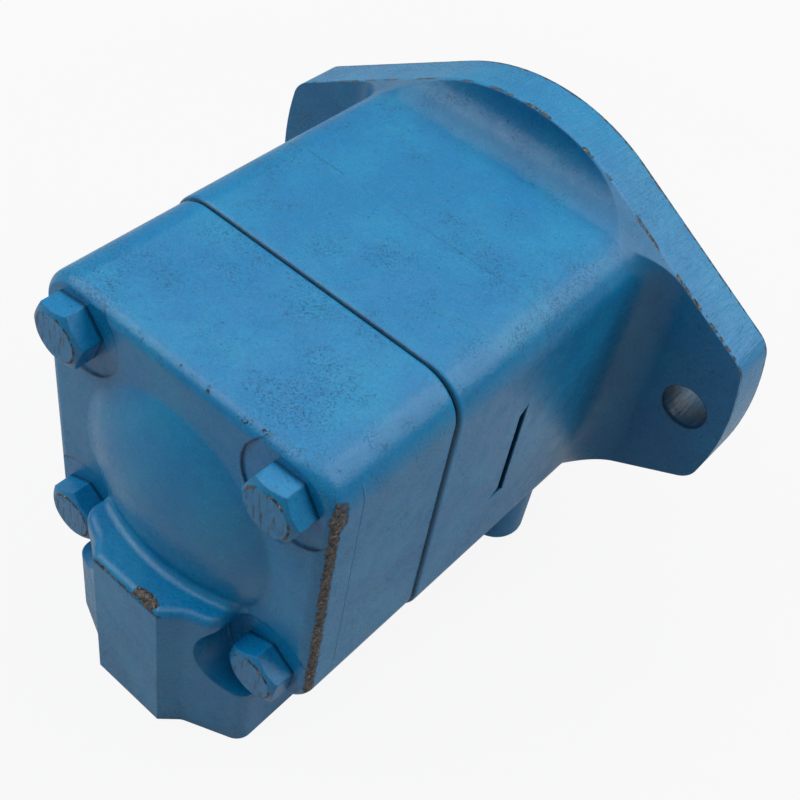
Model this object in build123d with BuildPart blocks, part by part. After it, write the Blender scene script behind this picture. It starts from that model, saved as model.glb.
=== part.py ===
from build123d import *
import math
import os

# Single-stage balanced vane pump with a two-bolt mounting flange.
# Frame: origin at the centre of the flange's mounting face, +Y along the drive shaft towards its
# free end, +Z up. Stations are distances from the mounting face towards the cover, so a station s
# lies at y = -s, on Plane.XZ.offset(s). All lengths are in millimetres.

os.makedirs("parts", exist_ok=True)

# ---- mounting flange and pilot ----
flange_thickness = 15.2
flange_arc_radius = 61.7
flank_angle = 30.0
ear_radius = 86.3
ear_corner_radius = 9.0
flange_hole_spacing = 146.0
flange_hole_radius = 7.15
pilot_radius = 50.8
pilot_height = 9.5
pilot_chamfer = 1.0
cove_radius = 11.0

# ---- body barrel ----
seam_station = 98.5
body_half_width = 48.9
body_half_height = 48.3
body_corner_radius = 12.6
seam_edge_round = 1.2
flash_groove_station = 64.9
flash_groove_width = 3.0
flash_groove_top = 19.0
flash_groove_bottom = 17.0
flash_groove_flare = 3.5
flash_groove_depth = 3.5

# ---- inlet boss, under the body ----
inlet_station = 41.9
inlet_boss_radius = 26.0
inlet_lobe_length = 95.8
inlet_lobe_width = 19.0
inlet_face_drop = 13.3
inlet_rim_round = 2.0
inlet_web_radius = 8.0
inlet_bore_radius = 19.6
inlet_gallery_top = 27.0
inlet_window_width = 26.0
inlet_window_height = 6.5

# ---- cover ----
cover_length = 43.4
cover_half_width = 48.2
cover_half_height = 47.7
cover_corner_radius = 12.2
cover_edge_radius = 4.2
bolt_half_spacing = 35.1
spot_face_radius = 14.5
spot_face_depth = 0.6
dome_base_radius = 33.0
dome_height = 9.0
dome_blend_radius = 2.5

# ---- outlet boss, behind and under the cover ----
outlet_station = 137.0
outlet_bore_radius = 12.5
outlet_bore_top = 24.0
outlet_gallery_radius = 7.0
outlet_gallery_height = 31.0
outlet_face_drop = 26.9
boss_top = 20.0
boss_top_half_width = 25.0
boss_nose_reach = 17.5
boss_nose_half_width = 12.1
boss_waist_half_width = 17.0
boss_waist_reach = 12.8
boss_shoulder_half_width = 33.6
boss_shoulder_reach = 5.8
boss_shoulder_depth = 17.0
boss_tail_half_width = 22.0
boss_tail_depth = 31.0
boss_corner_radius = 5.0
boss_edge_radius = 2.5
boss_root_radius = 2.5
scoop_radius = 15.5

# ---- cover screws, 7/16 inch hexagon head ----
screw_radius = 5.5
screw_across_flats = 15.9
screw_head_height = 7.4
screw_head_chamfer = 1.2
screw_crown_angle = 30.0
screw_turns = (8.0, 3.0, 27.0, 24.0)
screw_engagement = 21.0
screw_hole_clearance = 0.4
thread_clearance = 0.05
tapped_hole_extra = 4.0

# ---- pumping cartridge ----
ring_outer_radius = 37.0
ring_width = 24.0
ring_minor_radius = 26.5
ring_major_radius = 29.2
rotor_radius = 26.0
rotor_side_clearance = 0.05
vane_count = 12
vane_thickness = 1.9
vane_slot_clearance = 0.04
vane_slot_floor = 14.2
vane_travel = 1.0
vane_floor_gap = 0.1
vane_tip_clearance = 0.15
spline_teeth = 10
spline_root_radius = 8.8
spline_tip_radius = 10.4
spline_tooth_width = 3.0
spline_clearance = 0.04
dowel_radius = 2.0
dowel_circle_radius = 33.1
dowel_depth = 7.0
part_clearance = 0.04

# ---- pressure plate, spring and seals ----
plate_width = 19.0
plate_radius = 35.95
chamber_radius = 36.0
chamber_extra = 9.0
plate_window_radius = 27.6
plate_window_width = 4.0
plate_window_sweep = 55.0
spring_inner_radius = 17.0
spring_outer_radius = 31.0
spring_thickness = 1.6
cord_radius = 1.0
seam_groove_radius = 40.3
seal_groove_width = 2.6
plate_window_angles = (45.0, 225.0)

# ---- drive shaft and its bearings ----
shaft_extension = 41.3
drive_end_radius = 11.11
drive_end_chamfer = 1.0
journal_radius = 11.8
race_seat_radius = 12.5
shoulder_radius = 14.3
shoulder_width = 3.0
key_width = 6.35
key_length = 22.0
key_end_gap = 8.0
coupling_land = 6.0
coupling_groove_width = 1.1
coupling_groove_depth = 0.6
bearing_station = 10.0
bearing_width = 15.0
bearing_outer_radius = 26.0
race_thickness = 3.4
ball_count = 9
ball_radius = 3.95
ball_clearance = 0.03
cage_thickness = 1.0
cage_half_width = 5.4
snap_ring_width = 1.6
snap_ring_depth = 1.4
snap_ring_gap = 4.2
seal_station = 23.0
seal_width = 8.0
seal_outer_radius = 20.0
seal_case_thickness = 1.5
bush_station = 49.0
bush_length = 20.0
bush_outer_radius = 14.0
bush_clearance = 0.04
shaft_passage_radius = 12.6

# ---- stations worked out from the sizes above ----
cover_station = seam_station + cover_length
ring_floor_station = seam_station - ring_width
plate_back_station = seam_station + plate_width
chamber_end_station = plate_back_station + chamber_extra
spot_station = cover_station - spot_face_depth
screw_tip_station = seam_station - screw_engagement
bearing_front_station = bearing_station - bearing_width
outlet_face = -(cover_half_height + outlet_face_drop)
inlet_face = -(body_half_height + inlet_face_drop)
ring_bore_radius = ring_outer_radius + part_clearance
vane_foot_radius = vane_slot_floor + vane_floor_gap + vane_travel
vane_tip_radius = ring_minor_radius - vane_tip_clearance
rotor_width = ring_width - 2 * rotor_side_clearance
key_station = -(shaft_extension - key_end_gap)


def ring_between(inner_radius, outer_radius, near_station, far_station):
    """A plain ring around the shaft axis, between two stations."""
    with BuildPart() as ring:
        with BuildSketch(Plane.XZ.offset(near_station)):
            Circle(outer_radius)
            Circle(inner_radius, mode=Mode.SUBTRACT)
        extrude(amount=far_station - near_station)
    return ring


# ---- body: flange, barrel, inlet boss, pilot and bores ----
flank_reach = flange_arc_radius / math.sin(math.radians(flank_angle))
tangent_x = flange_arc_radius * math.sin(math.radians(flank_angle))
tangent_z = flange_arc_radius * math.cos(math.radians(flank_angle))
blank = 2 * flank_reach

with BuildSketch(Plane.XZ) as flange_outline:
    Circle(flange_arc_radius)
    Polygon(
        (flank_reach, 0),
        (tangent_x, tangent_z),
        (-tangent_x, tangent_z),
        (-flank_reach, 0),
        (-tangent_x, -tangent_z),
        (tangent_x, -tangent_z),
        align=None,
    )
    Circle(ear_radius, mode=Mode.INTERSECT)
    fillet(flange_outline.vertices().group_by(SortBy.DISTANCE)[-1], ear_corner_radius)

with BuildPart() as body:
    # an oversize plate and the barrel, so that the cove runs all round before it is trimmed
    with BuildSketch(Plane.XZ):
        Rectangle(blank, blank)
    extrude(amount=flange_thickness)
    with BuildSketch(Plane.XZ.offset(flange_thickness)):
        RectangleRounded(2 * body_half_width, 2 * body_half_height, body_corner_radius)
    extrude(amount=seam_station - flange_thickness)
    root_edges = body.edges().filter_by_position(
        Axis.Y, -flange_thickness - 0.01, -flange_thickness + 0.01
    ).filter_by(lambda edge: max(abs(edge.center().X), abs(edge.center().Z)) < blank / 4)
    fillet(root_edges, cove_radius)
    # trim the plate and the cove to the flange's outline
    with BuildSketch(Plane.XZ):
        Rectangle(blank, blank)
        add(flange_outline.sketch, mode=Mode.SUBTRACT)
    extrude(amount=flange_thickness + cove_radius, mode=Mode.SUBTRACT)
    fillet(body.faces().sort_by(Axis.Y)[0].outer_wire().edges(), seam_edge_round)
    # inlet boss: a round port boss on an oval pad
    with BuildSketch(Plane.XY.offset(inlet_face)) as inlet_plan:
        with Locations((0, -inlet_station)):
            SlotOverall(inlet_lobe_length, inlet_lobe_width)
            Circle(inlet_boss_radius)
        fillet(inlet_plan.vertices().filter_by(lambda v: abs(v.X) < inlet_boss_radius), inlet_web_radius)
    extrude(amount=inlet_face_drop + body_corner_radius)
    fillet(body.faces().filter_by(Axis.Z).sort_by(Axis.Z)[0].outer_wire().edges(), inlet_rim_round)
    # pilot spigot
    with BuildSketch(Plane.XZ):
        Circle(pilot_radius)
    extrude(amount=-pilot_height)
    chamfer(body.faces().sort_by(Axis.Y)[-1].outer_wire().edges(), pilot_chamfer)
    # bearing pocket, snap ring groove, seal pocket, shaft passage, bush seat and ring chamber
    with BuildSketch(Plane.XY):
        with BuildLine():
            Polyline(
                (0, pilot_height),
                (bearing_outer_radius, pilot_height),
                (bearing_outer_radius, -bearing_station),
                (seal_outer_radius, -bearing_station),
                (seal_outer_radius, -seal_station),
                (shaft_passage_radius, -seal_station),
                (shaft_passage_radius, -bush_station),
                (bush_outer_radius, -bush_station),
                (bush_outer_radius, -bush_station - bush_length),
                (shaft_passage_radius, -bush_station - bush_length),
                (shaft_passage_radius, -ring_floor_station),
                (ring_bore_radius, -ring_floor_station),
                (ring_bore_radius, -seam_station),
                (0, -seam_station),
                close=True,
            )
        make_face()
    revolve(axis=Axis.Y, mode=Mode.SUBTRACT)
    with BuildSketch(Plane.XZ.offset(bearing_front_station)):
        Circle(bearing_outer_radius + snap_ring_depth)
    extrude(amount=-snap_ring_width, mode=Mode.SUBTRACT)
    # flange holes
    with BuildSketch(Plane.XZ):
        with GridLocations(flange_hole_spacing, 0, 2, 1):
            Circle(flange_hole_radius)
    extrude(amount=flange_thickness, mode=Mode.SUBTRACT)
    # tapped holes for the cover screws, and dowel holes in the chamber floor
    with BuildSketch(Plane.XZ.offset(seam_station)):
        with GridLocations(2 * bolt_half_spacing, 2 * bolt_half_spacing, 2, 2):
            Circle(screw_radius + thread_clearance)
    extrude(amount=-(screw_engagement + tapped_hole_extra), mode=Mode.SUBTRACT)
    with BuildSketch(Plane.XZ.offset(ring_floor_station)):
        with GridLocations(2 * dowel_circle_radius, 0, 2, 1):
            Circle(dowel_radius)
    extrude(amount=-dowel_depth, mode=Mode.SUBTRACT)
    # inlet port, its spot face and the gallery to the chamber floor
    with BuildSketch(Plane.XY.offset(inlet_face)):
        with Locations((0, -inlet_station)):
            Circle(inlet_bore_radius)
    extrude(amount=-inlet_gallery_top - inlet_face, mode=Mode.SUBTRACT)
    with BuildSketch(Plane.XZ.offset(inlet_station)):
        with Locations((0, -inlet_gallery_top - inlet_window_height / 2)):
            SlotOverall(inlet_window_width, inlet_window_height)
    extrude(amount=ring_floor_station - inlet_station, mode=Mode.SUBTRACT)
    # open groove left by the casting flash on the right-hand side
    flash_groove_far = flash_groove_station + flash_groove_width
    with BuildSketch(Plane.YZ.offset(body_half_width)):
        Polygon(
            (-flash_groove_station, flash_groove_top),
            (-flash_groove_far, flash_groove_top - flash_groove_width),
            (-flash_groove_far, flash_groove_width - flash_groove_bottom),
            (-flash_groove_far - flash_groove_flare, -flash_groove_bottom),
            (-flash_groove_station, -flash_groove_bottom),
            align=None,
        )
    extrude(amount=-flash_groove_depth, mode=Mode.SUBTRACT)
body.part.label = "body"
export_step(body.part, "parts/body.step")


# ---- outlet boss: its full plan below the screws' height, drawn in at the sides above it ----
with BuildSketch(Plane.XY) as boss_plan:
    with BuildLine():
        Polyline(
            (0, -cover_station - boss_nose_reach),
            (boss_nose_half_width, -cover_station - boss_nose_reach),
            (boss_waist_half_width, -cover_station - boss_waist_reach),
            (boss_shoulder_half_width, -cover_station - boss_shoulder_reach),
            (boss_shoulder_half_width, -cover_station + boss_shoulder_depth),
            (boss_tail_half_width, -cover_station + boss_tail_depth),
            (0, -cover_station + boss_tail_depth),
        )
        mirror(about=Plane.YZ)
    make_face()
    fillet(
        boss_plan.vertices().filter_by(lambda v: abs(v.X) > boss_waist_half_width - 0.01),
        boss_corner_radius,
    )

with BuildSketch(Plane.XY) as boss_top_plan:
    add(boss_plan.sketch)
    with Locations((0, -cover_station)):
        Rectangle(2 * boss_top_half_width, 2 * boss_tail_depth, mode=Mode.INTERSECT)
    fillet(
        boss_top_plan.vertices().filter_by(
            lambda v: abs(abs(v.X) - boss_top_half_width) < 0.01 and v.Y < -cover_station
        ),
        boss_corner_radius,
    )

with BuildPart() as outlet_boss:
    with BuildSketch(Plane.XY.offset(outlet_face)):
        add(boss_plan.sketch)
    extrude(amount=-bolt_half_spacing - outlet_face)
    with BuildSketch(Plane.XY.offset(-boss_top)):
        add(boss_top_plan.sketch)
    extrude(amount=boss_top - bolt_half_spacing)
    fillet(outlet_boss.faces().sort_by(Axis.Z)[-1].outer_wire().edges(), boss_edge_radius)


# ---- cover: domed back, outlet boss with scoops round the lower screws ----
with BuildPart() as cover:
    with BuildSketch(Plane.XZ.offset(seam_station)):
        RectangleRounded(2 * cover_half_width, 2 * cover_half_height, cover_corner_radius)
    extrude(amount=cover_length)
    fillet(cover.faces().sort_by(Axis.Y)[0].outer_wire().edges(), cover_edge_radius)
    fillet(cover.faces().sort_by(Axis.Y)[-1].outer_wire().edges(), seam_edge_round)
    # spherical dome on the back
    with BuildSketch(Plane.XY):
        with BuildLine():
            dome_root = dome_blend_radius - cover_station
            rim = (dome_base_radius, -cover_station)
            apex = (0, -cover_station - dome_height)
            RadiusArc(rim, apex, (dome_base_radius**2 + dome_height**2) / (2 * dome_height))
            Polyline(apex, (0, dome_root), (dome_base_radius, dome_root), rim)
        make_face()
    revolve(axis=Axis.Y)
    fillet(
        cover.edges().filter_by(GeomType.CIRCLE).filter_by(
            lambda edge: abs(edge.radius - dome_base_radius) < 0.01
        ),
        dome_blend_radius,
    )
    # outlet boss, blended into the dome
    add(outlet_boss.part)
    root_arcs = cover.edges().filter_by(GeomType.CIRCLE)
    fillet(root_arcs.filter_by(lambda edge: abs(edge.center().Z + boss_top) < 0.01), boss_root_radius)
    with BuildSketch(Plane.XZ.offset(spot_station)):
        with Locations((0, -bolt_half_spacing)):
            with GridLocations(2 * bolt_half_spacing, 0, 2, 1):
                Circle(scoop_radius)
    extrude(amount=boss_nose_reach + spot_face_depth, mode=Mode.SUBTRACT)
    # spot faces and screw holes
    with BuildSketch(Plane.XZ.offset(spot_station)):
        with GridLocations(2 * bolt_half_spacing, 2 * bolt_half_spacing, 2, 2):
            Circle(spot_face_radius)
    extrude(amount=cover_edge_radius, mode=Mode.SUBTRACT)
    with BuildSketch(Plane.XZ.offset(seam_station)):
        with GridLocations(2 * bolt_half_spacing, 2 * bolt_half_spacing, 2, 2):
            Circle(screw_radius + screw_hole_clearance)
    extrude(amount=cover_length, mode=Mode.SUBTRACT)
    # pressure chamber and the seam's seal groove
    with BuildSketch(Plane.XZ.offset(seam_station)):
        Circle(chamber_radius)
    extrude(amount=plate_width + chamber_extra, mode=Mode.SUBTRACT)
    with BuildSketch(Plane.XZ.offset(seam_station)):
        Circle(seam_groove_radius + seal_groove_width / 2)
        Circle(seam_groove_radius - seal_groove_width / 2, mode=Mode.SUBTRACT)
    extrude(amount=2 * cord_radius, mode=Mode.SUBTRACT)
    # outlet port and its gallery into the chamber
    with BuildSketch(Plane.XY.offset(outlet_face)):
        with Locations((0, -outlet_station)):
            Circle(outlet_bore_radius)
    extrude(amount=-outlet_bore_top - outlet_face, mode=Mode.SUBTRACT)
    with BuildSketch(Plane.XZ.offset(chamber_end_station)):
        with Locations((0, -outlet_gallery_height)):
            Circle(outlet_gallery_radius)
    extrude(amount=outlet_station - chamber_end_station, mode=Mode.SUBTRACT)
cover.part.label = "cover"
export_step(cover.part, "parts/cover.step")


# ---- four cover screws, their heads turned as they were tightened ----
head_top_station = spot_station + screw_head_height
screw_sides = (-bolt_half_spacing, bolt_half_spacing)
screw_places = [(x, z) for z in reversed(screw_sides) for x in screw_sides]

with BuildPart() as cover_screws:
    with BuildSketch(Plane.XZ.offset(spot_station)):
        for place, turn in zip(screw_places, screw_turns):
            with Locations(place):
                RegularPolygon(screw_across_flats / 2, 6, major_radius=False, rotation=turn)
    extrude(amount=screw_head_height)
    # a cone over each head trims the corners of its crown
    with BuildSketch(Plane.XZ.offset(head_top_station)):
        with GridLocations(2 * bolt_half_spacing, 2 * bolt_half_spacing, 2, 2):
            Circle(screw_across_flats / 2 - screw_head_chamfer)
    extrude(amount=-screw_head_height, taper=screw_crown_angle - 90, mode=Mode.INTERSECT)
    with BuildSketch(Plane.XZ.offset(screw_tip_station)):
        with GridLocations(2 * bolt_half_spacing, 2 * bolt_half_spacing, 2, 2):
            Circle(screw_radius)
    extrude(amount=spot_station - screw_tip_station)
cover_screws.part.label = "cover_screws"
export_step(cover_screws.part, "parts/cover_screws.step")


# ---- drive shaft: keyed end, bearing seat, shoulder, journal and spline ----
with BuildSketch(Plane.XZ) as spline_outline:
    Circle(spline_root_radius)
    with PolarLocations(0, spline_teeth):
        with Locations((spline_tip_radius / 2, 0)):
            Rectangle(spline_tip_radius, spline_tooth_width)
    Circle(spline_tip_radius, mode=Mode.INTERSECT)

with BuildPart() as drive_shaft:
    with BuildSketch(Plane.XY):
        with BuildLine():
            Polyline(
                (0, shaft_extension),
                (drive_end_radius, shaft_extension),
                (drive_end_radius, pilot_height),
                (race_seat_radius, pilot_height),
                (race_seat_radius, -bearing_station),
                (shoulder_radius, -bearing_station),
                (shoulder_radius, -bearing_station - shoulder_width),
                (journal_radius, -bearing_station - shoulder_width),
                (journal_radius, -ring_floor_station),
                (0, -ring_floor_station),
                close=True,
            )
        make_face()
    revolve(axis=Axis.Y)
    chamfer(drive_shaft.faces().sort_by(Axis.Y)[-1].edges(), drive_end_chamfer)
    with BuildSketch(Plane.XZ.offset(ring_floor_station)):
        add(spline_outline.sketch)
    extrude(amount=ring_width)
    # keyseat, round at both ends, and the grooves of the coupling's ring and the shaft's snap ring
    with BuildSketch(Plane.XZ.offset(coupling_land - shaft_extension)):
        Circle(drive_end_radius)
        Circle(drive_end_radius - coupling_groove_depth, mode=Mode.SUBTRACT)
    extrude(amount=coupling_groove_width, mode=Mode.SUBTRACT)
    with BuildSketch(Plane.XY.offset(drive_end_radius)):
        with Locations((0, -key_station - key_length / 2)):
            SlotOverall(key_length, key_width, rotation=90)
    extrude(amount=-key_width / 2, mode=Mode.SUBTRACT)
    with BuildSketch(Plane.XZ.offset(bearing_front_station)):
        Circle(race_seat_radius)
        Circle(race_seat_radius - snap_ring_depth, mode=Mode.SUBTRACT)
    extrude(amount=-snap_ring_width, mode=Mode.SUBTRACT)
drive_shaft.part.label = "drive_shaft"
export_step(drive_shaft.part, "parts/drive_shaft.step")

with BuildPart() as shaft_key:
    with BuildSketch(Plane.XY.offset(drive_end_radius - key_width / 2)):
        with Locations((0, -key_station - key_length / 2)):
            SlotOverall(key_length, key_width, rotation=90)
    extrude(amount=key_width)
shaft_key.part.label = "shaft_key"
export_step(shaft_key.part, "parts/shaft_key.step")


# ---- ball bearing: two grooved races, balls and their cage ----
inner_race_radius = race_seat_radius + race_thickness
outer_race_radius = bearing_outer_radius - race_thickness
ball_circle_radius = (inner_race_radius + outer_race_radius) / 2
ball_plane_station = bearing_station - bearing_width / 2
groove_radius = ball_radius + ball_clearance

with BuildPart() as bearing_inner_race:
    add(ring_between(race_seat_radius, inner_race_radius, bearing_front_station, bearing_station).part)
    with BuildSketch(Plane.XY):
        with Locations((ball_circle_radius, -ball_plane_station)):
            Circle(groove_radius)
    revolve(axis=Axis.Y, mode=Mode.SUBTRACT)
bearing_inner_race.part.label = "bearing_inner_race"
export_step(bearing_inner_race.part, "parts/bearing_inner_race.step")

with BuildPart() as bearing_outer_race:
    add(ring_between(outer_race_radius, bearing_outer_radius, bearing_front_station, bearing_station).part)
    with BuildSketch(Plane.XY):
        with Locations((ball_circle_radius, -ball_plane_station)):
            Circle(groove_radius)
    revolve(axis=Axis.Y, mode=Mode.SUBTRACT)
bearing_outer_race.part.label = "bearing_outer_race"
export_step(bearing_outer_race.part, "parts/bearing_outer_race.step")

with BuildPart() as bearing_balls:
    with Locations(Plane.XZ.offset(ball_plane_station)):
        with PolarLocations(ball_circle_radius, ball_count):
            Sphere(ball_radius)
bearing_balls.part.label = "bearing_balls"
export_step(bearing_balls.part, "parts/bearing_balls.step")

with BuildPart() as bearing_cage:
    with BuildSketch(Plane.XZ.offset(ball_plane_station)):
        Circle(ball_circle_radius + cage_thickness / 2)
        Circle(ball_circle_radius - cage_thickness / 2, mode=Mode.SUBTRACT)
    extrude(amount=cage_half_width, both=True)
    with Locations(Plane.XZ.offset(ball_plane_station)):
        with PolarLocations(ball_circle_radius, ball_count):
            Cylinder(groove_radius, 6 * cage_thickness, rotation=(0, 90, 0), mode=Mode.SUBTRACT)
bearing_cage.part.label = "bearing_cage"
export_step(bearing_cage.part, "parts/bearing_cage.step")


# ---- snap rings: one holds the outer race in the body, one the inner race on the shaft ----
with BuildPart() as body_snap_ring:
    with BuildSketch(Plane.XZ.offset(bearing_front_station)):
        Circle(bearing_outer_radius + snap_ring_depth)
        Circle(bearing_outer_radius - snap_ring_depth, mode=Mode.SUBTRACT)
        with Locations((0, -bearing_outer_radius)):
            Rectangle(snap_ring_gap, 4 * snap_ring_depth, mode=Mode.SUBTRACT)
    extrude(amount=-snap_ring_width)
body_snap_ring.part.label = "body_snap_ring"
export_step(body_snap_ring.part, "parts/body_snap_ring.step")

with BuildPart() as shaft_snap_ring:
    with BuildSketch(Plane.XZ.offset(bearing_front_station)):
        Circle(race_seat_radius + snap_ring_depth)
        Circle(race_seat_radius - snap_ring_depth, mode=Mode.SUBTRACT)
        with Locations((0, -race_seat_radius)):
            Rectangle(snap_ring_gap, 4 * snap_ring_depth, mode=Mode.SUBTRACT)
    extrude(amount=-snap_ring_width)
shaft_snap_ring.part.label = "shaft_snap_ring"
export_step(shaft_snap_ring.part, "parts/shaft_snap_ring.step")


# ---- shaft seal: pressed steel case and rubber lip ----
seal_front_station = seal_station - seal_width
seal_throat_radius = seal_outer_radius - 2 * seal_case_thickness
with BuildPart() as shaft_seal_case:
    case_wall = seal_outer_radius - seal_case_thickness
    add(ring_between(case_wall, seal_outer_radius, seal_front_station, seal_station).part)
    add(
        ring_between(
            seal_throat_radius - seal_case_thickness,
            seal_outer_radius,
            seal_station - seal_case_thickness,
            seal_station,
        ).part
    )
shaft_seal_case.part.label = "shaft_seal_case"
export_step(shaft_seal_case.part, "parts/shaft_seal_case.step")

with BuildPart() as shaft_seal_lip:
    lip_back = -(seal_station - seal_case_thickness)
    with BuildSketch(Plane.XY):
        with BuildLine():
            Polyline(
                (journal_radius + part_clearance, lip_back + seal_case_thickness),
                (journal_radius + 3 * seal_case_thickness / 2, lip_back),
                (seal_throat_radius + seal_case_thickness, lip_back),
                (seal_throat_radius + seal_case_thickness, lip_back + 2 * seal_case_thickness),
                (journal_radius + seal_case_thickness, lip_back + 2 * seal_case_thickness),
                close=True,
            )
        make_face()
    revolve(axis=Axis.Y)
shaft_seal_lip.part.label = "shaft_seal_lip"
export_step(shaft_seal_lip.part, "parts/shaft_seal_lip.step")


# ---- plain bush that carries the inner end of the shaft ----
shaft_bush = ring_between(
    journal_radius + bush_clearance, bush_outer_radius, bush_station, bush_station + bush_length
)
shaft_bush.part.label = "shaft_bush"
export_step(shaft_bush.part, "parts/shaft_bush.step")


# ---- cam ring: round outside, oval inside, with two dowel holes ----
with BuildPart() as cam_ring:
    with BuildSketch(Plane.XZ.offset(ring_floor_station)):
        Circle(ring_outer_radius)
        Ellipse(ring_minor_radius, ring_major_radius, mode=Mode.SUBTRACT)
        with GridLocations(2 * dowel_circle_radius, 0, 2, 1):
            Circle(dowel_radius + part_clearance, mode=Mode.SUBTRACT)
    extrude(amount=ring_width)
cam_ring.part.label = "cam_ring"
export_step(cam_ring.part, "parts/cam_ring.step")

with BuildPart() as dowel_pins:
    with BuildSketch(Plane.XZ.offset(ring_floor_station - dowel_depth)):
        with GridLocations(2 * dowel_circle_radius, 0, 2, 1):
            Circle(dowel_radius)
    extrude(amount=ring_width + 2 * dowel_depth)
dowel_pins.part.label = "dowel_pins"
export_step(dowel_pins.part, "parts/dowel_pins.step")


# ---- rotor, splined to the shaft, with a radial slot for each vane ----
rotor_station = ring_floor_station + rotor_side_clearance
vane_slot_width = vane_thickness + 2 * vane_slot_clearance
slot_depth = rotor_radius - vane_slot_floor
with BuildPart() as rotor:
    with BuildSketch(Plane.XZ.offset(rotor_station)):
        Circle(rotor_radius)
        offset(spline_outline.sketch, amount=spline_clearance, kind=Kind.INTERSECTION, mode=Mode.SUBTRACT)
        with PolarLocations(vane_slot_floor + slot_depth, vane_count):
            Rectangle(2 * slot_depth, vane_slot_width, mode=Mode.SUBTRACT)
    extrude(amount=rotor_width)
rotor.part.label = "rotor"
export_step(rotor.part, "parts/rotor.step")


# ---- vanes, drawn in to clear the narrow part of the ring ----
vane_height = vane_tip_radius - vane_foot_radius
for index in range(vane_count):
    turn = index * 360 / vane_count
    with BuildPart() as vane:
        with BuildSketch(Plane.XZ.offset(rotor_station).rotated((0, -turn, 0))):
            with Locations(((vane_foot_radius + vane_tip_radius) / 2, 0)):
                Rectangle(vane_height, vane_thickness)
        extrude(amount=rotor_width)
    vane.part.label = f"vane_{index + 1}"
    export_step(vane.part, f"parts/vane_{index + 1}.step")


# ---- pressure plate with two outlet windows and its seal groove ----
with BuildPart() as pressure_plate:
    with BuildSketch(Plane.XZ.offset(seam_station)):
        Circle(plate_radius)
        with GridLocations(2 * dowel_circle_radius, 0, 2, 1):
            Circle(dowel_radius + part_clearance, mode=Mode.SUBTRACT)
        for middle in plate_window_angles:
            with BuildLine(mode=Mode.PRIVATE) as window:
                CenterArc((0, 0), plate_window_radius, middle - plate_window_sweep / 2, plate_window_sweep)
            SlotArc(window.edge(), plate_window_width, mode=Mode.SUBTRACT)
    extrude(amount=plate_width)
    with BuildSketch(Plane.XZ.offset(seam_station + plate_width / 2)):
        Circle(plate_radius)
        Circle(chamber_radius - 2 * cord_radius, mode=Mode.SUBTRACT)
    extrude(amount=seal_groove_width, mode=Mode.SUBTRACT)
pressure_plate.part.label = "pressure_plate"
export_step(pressure_plate.part, "parts/pressure_plate.step")

with BuildPart() as plate_seal:
    with BuildSketch(Plane.XY):
        with Locations((chamber_radius - cord_radius, -seam_station - (plate_width + seal_groove_width) / 2)):
            Circle(cord_radius - part_clearance / 2)
    revolve(axis=Axis.Y)
plate_seal.part.label = "plate_seal"
export_step(plate_seal.part, "parts/plate_seal.step")

with BuildPart() as seam_seal:
    with BuildSketch(Plane.XY):
        with Locations((seam_groove_radius, -seam_station - cord_radius)):
            Circle(cord_radius - part_clearance / 2)
    revolve(axis=Axis.Y)
seam_seal.part.label = "seam_seal"
export_step(seam_seal.part, "parts/seam_seal.step")


# ---- conical spring washer that holds the plate against the ring ----
with BuildPart() as plate_spring:
    with BuildSketch(Plane.XY):
        with BuildLine():
            Polyline(
                (spring_outer_radius, -plate_back_station),
                (spring_outer_radius, -plate_back_station - spring_thickness),
                (spring_inner_radius, -chamber_end_station),
                (spring_inner_radius, -chamber_end_station + spring_thickness),
                close=True,
            )
        make_face()
    revolve(axis=Axis.Y)
plate_spring.part.label = "plate_spring"
export_step(plate_spring.part, "parts/plate_spring.step")
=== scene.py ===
"""Looks of a cast iron vane pump: satin blue enamel over sand-cast iron with worn edges,
bare machined faces, scratched hexagon screws, threaded ports, and a plain studio.
Every length is in metres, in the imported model's own frame: origin at the centre of the flange's
mounting face, +Y along the shaft, +Z up."""

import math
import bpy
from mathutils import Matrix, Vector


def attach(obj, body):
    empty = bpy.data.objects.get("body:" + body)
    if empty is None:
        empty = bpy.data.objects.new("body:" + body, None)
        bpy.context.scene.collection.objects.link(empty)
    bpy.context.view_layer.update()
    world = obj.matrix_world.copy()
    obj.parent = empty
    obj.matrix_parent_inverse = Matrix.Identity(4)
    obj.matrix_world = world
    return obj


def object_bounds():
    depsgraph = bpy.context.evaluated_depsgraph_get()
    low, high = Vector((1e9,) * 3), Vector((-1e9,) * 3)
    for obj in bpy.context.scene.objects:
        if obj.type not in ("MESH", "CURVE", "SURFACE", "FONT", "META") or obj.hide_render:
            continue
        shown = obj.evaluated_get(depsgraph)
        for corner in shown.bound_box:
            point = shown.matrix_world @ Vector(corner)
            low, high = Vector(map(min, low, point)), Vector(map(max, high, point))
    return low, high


bl_info = {
    "name": "Vane Pump Finish",
    "version": (1, 0, 0),
    "blender": (4, 5, 0),
    "location": "View3D > Sidebar > Vane Pump",
    "description": "Dresses a packed vane pump in enamel, machined iron and steel",
    "category": "Object",
}

from collections import namedtuple
from functools import partial

import bpy
import numpy as np
from mathutils import Matrix

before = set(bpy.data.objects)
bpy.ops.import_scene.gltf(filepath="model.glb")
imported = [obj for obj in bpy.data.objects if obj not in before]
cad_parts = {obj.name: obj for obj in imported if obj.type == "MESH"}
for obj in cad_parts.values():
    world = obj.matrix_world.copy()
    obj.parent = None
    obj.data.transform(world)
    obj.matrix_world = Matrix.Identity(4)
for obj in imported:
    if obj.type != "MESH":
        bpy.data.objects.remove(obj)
CAD_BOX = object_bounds()
MM = 0.001

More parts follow.
